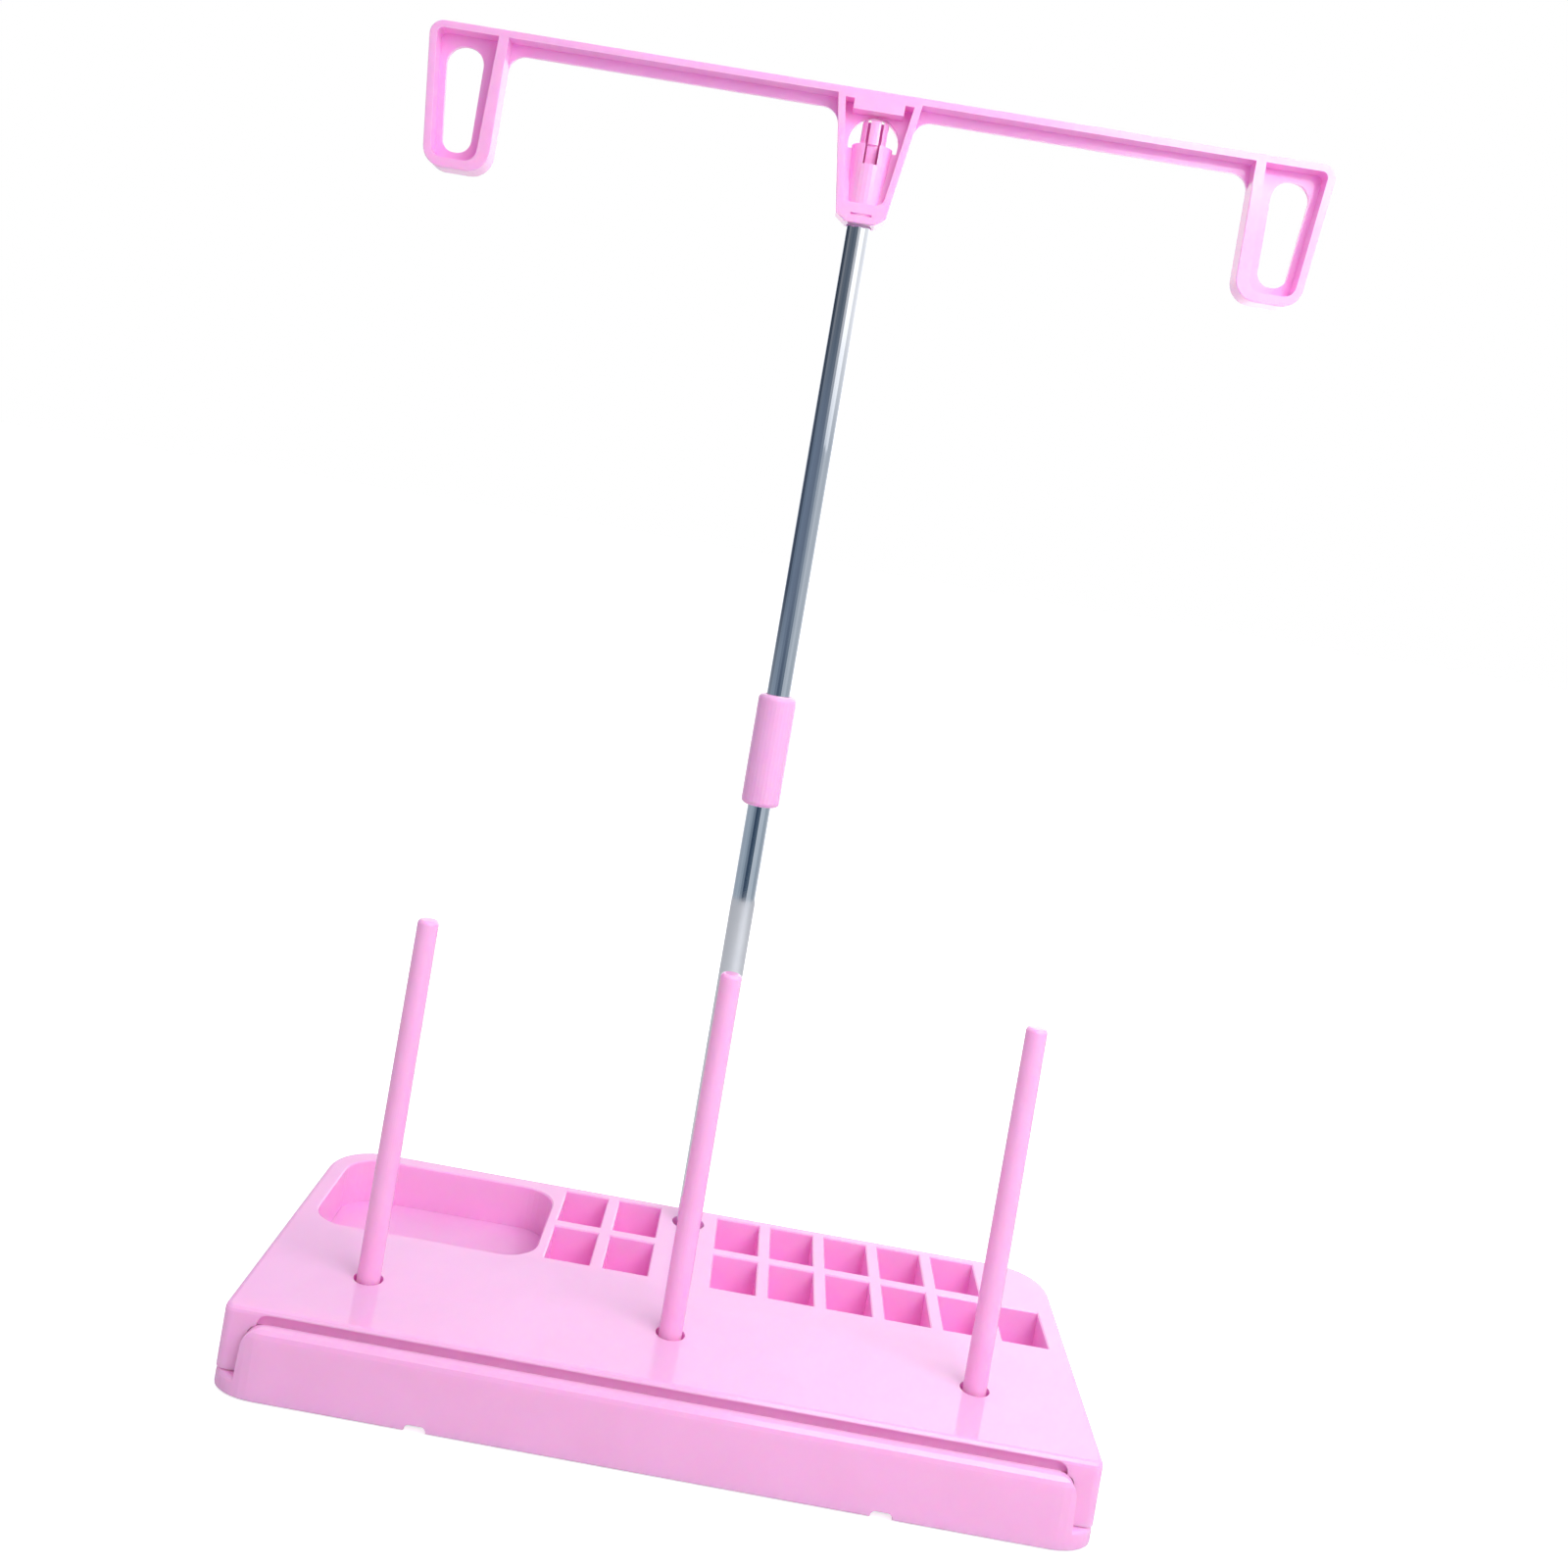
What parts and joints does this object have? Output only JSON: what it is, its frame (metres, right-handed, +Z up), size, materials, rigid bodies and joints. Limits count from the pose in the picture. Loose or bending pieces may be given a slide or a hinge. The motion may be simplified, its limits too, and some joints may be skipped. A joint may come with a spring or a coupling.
{
  "type": "thread spool stand",
  "caption": "Sewing thread stand: flat base with spool pins, a bobbin rack, a tray and a shallow drawer, and a two-piece mast with a wide swivelling thread guide.",
  "frame": {"origin": "on the table, under the centre of the stand's outline seen from above", "axes": "+Z up along the mast, -Y towards the drawer's front, +X along the base with the tray at -X"},
  "size_m": [0.299, 0.1194, 0.402],
  "materials": {
    "pink_plastic": "gloss",
    "chrome": "polished"
  },
  "bodies": {
    "base": {"base_shell": "pink_plastic"},
    "drawer": {"drawer": "pink_plastic"},
    "pin_left": {"spool_pin_left": "pink_plastic"},
    "pin_middle": {"spool_pin_middle": "pink_plastic"},
    "pin_right": {"spool_pin_right": "pink_plastic"},
    "mast_lower": {"lower_tube": "chrome", "tube_joiner": "pink_plastic"},
    "mast_upper": {"upper_tube": "chrome", "guide_plug": "pink_plastic"},
    "guide": {"thread_guide": "pink_plastic"}
  },
  "joints": [
    {"name": "drawer_slide", "type": "slide", "parent": "base", "child": "drawer", "axis": [0, -1, 0], "range_m": [0, 0.041]},
    {"name": "pin_left_lift", "type": "slide", "parent": "base", "child": "pin_left", "axis": [0, 0, 1], "range_m": [0, 0.02]},
    {"name": "pin_middle_lift", "type": "slide", "parent": "base", "child": "pin_middle", "axis": [0, 0, 1], "range_m": [0, 0.02]},
    {"name": "pin_right_lift", "type": "slide", "parent": "base", "child": "pin_right", "axis": [0, 0, 1], "range_m": [0, 0.02]},
    {"name": "mast_lower_lift", "type": "slide", "parent": "base", "child": "mast_lower", "axis": [0, 0, 1], "range_m": [0, 0.025]},
    {"name": "mast_upper_lift", "type": "slide", "parent": "mast_lower", "child": "mast_upper", "axis": [0, 0, 1], "range_m": [0, 0.022]},
    {"name": "guide_swivel", "type": "hinge", "parent": "mast_upper", "child": "guide", "pos_m": [0, 0.048, 0.3637], "axis": [0, 0, 1], "continuous": true}
  ]
}
